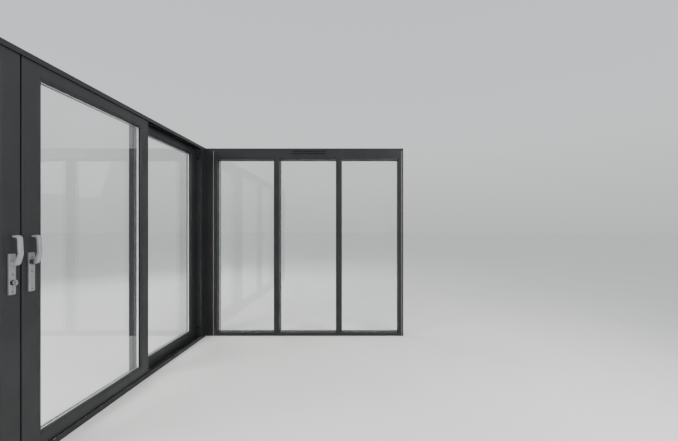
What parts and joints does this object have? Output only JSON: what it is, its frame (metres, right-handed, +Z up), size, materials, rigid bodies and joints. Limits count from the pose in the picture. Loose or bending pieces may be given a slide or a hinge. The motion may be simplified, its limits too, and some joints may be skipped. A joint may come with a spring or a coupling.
{
  "type": "glazed corner of a houseboat saloon with sliding doors",
  "caption": "Dark grey aluminium corner of a houseboat saloon: a side screen of sliding and fixed glazed panels meets an end screen of tall fixed lights.",
  "frame": {"origin": "centre of the footprint, at the underside of the sills", "axes": "+X from the side screen into the room, +Y along the side screen towards the end screen, +Z up"},
  "size_m": [2.375, 3.96, 2.13],
  "materials": {
    "frame_paint": "anthracite grey satin powder coat on extruded aluminium",
    "sash_paint": "anthracite grey satin powder coat on extruded aluminium",
    "glass": "clear double glazing",
    "satin_metal": "satin silver anodised",
    "vent_plastic": "dark grey moulded plastic"
  },
  "bodies": {
    "frame": {"side_sill": "frame_paint", "side_head": "frame_paint", "side_near_jamb": "frame_paint", "side_far_jamb": "frame_paint", "near_panel_jamb_stile": "sash_paint", "near_panel_interlock_stile": "sash_paint", "near_panel_bottom_rail": "sash_paint", "near_panel_top_rail": "sash_paint", "near_panel_glass": "glass", "far_panel_jamb_stile": "sash_paint", "far_panel_interlock_stile": "sash_paint", "far_panel_bottom_rail": "sash_paint", "far_panel_top_rail": "sash_paint", "far_panel_glass": "glass", "corner_post": "frame_paint", "end_left_jamb": "frame_paint", "end_right_jamb": "frame_paint", "end_sill": "frame_paint", "end_head": "frame_paint", "end_mullion_1": "frame_paint", "end_mullion_2": "frame_paint", "end_glass_1": "glass", "end_glass_2": "glass", "end_glass_3": "glass", "trickle_vent": "vent_plastic", "vent_canopy": "vent_plastic"},
    "leaf_a": {"leaf_a_lock_stile": "sash_paint", "leaf_a_interlock_stile": "sash_paint", "leaf_a_bottom_rail": "sash_paint", "leaf_a_top_rail": "sash_paint", "leaf_a_glass": "glass", "leaf_a_handle_plate": "satin_metal", "leaf_a_lever": "satin_metal", "leaf_a_thumbturn": "satin_metal", "leaf_a_flush_pull": "satin_metal", "leaf_a_key_cylinder": "satin_metal", "leaf_a_lock_plate": "satin_metal"},
    "leaf_b": {"leaf_b_lock_stile": "sash_paint", "leaf_b_interlock_stile": "sash_paint", "leaf_b_bottom_rail": "sash_paint", "leaf_b_top_rail": "sash_paint", "leaf_b_glass": "glass", "leaf_b_handle_plate": "satin_metal", "leaf_b_lever": "satin_metal", "leaf_b_keep_plate": "satin_metal"}
  },
  "joints": [
    {"name": "leaf_a_slide", "type": "slide", "parent": "frame", "child": "leaf_a", "axis": [0, -1, 0], "range_m": [0, 0.85]},
    {"name": "leaf_b_slide", "type": "slide", "parent": "frame", "child": "leaf_b", "axis": [0, 1, 0], "range_m": [0, 0.85]}
  ]
}
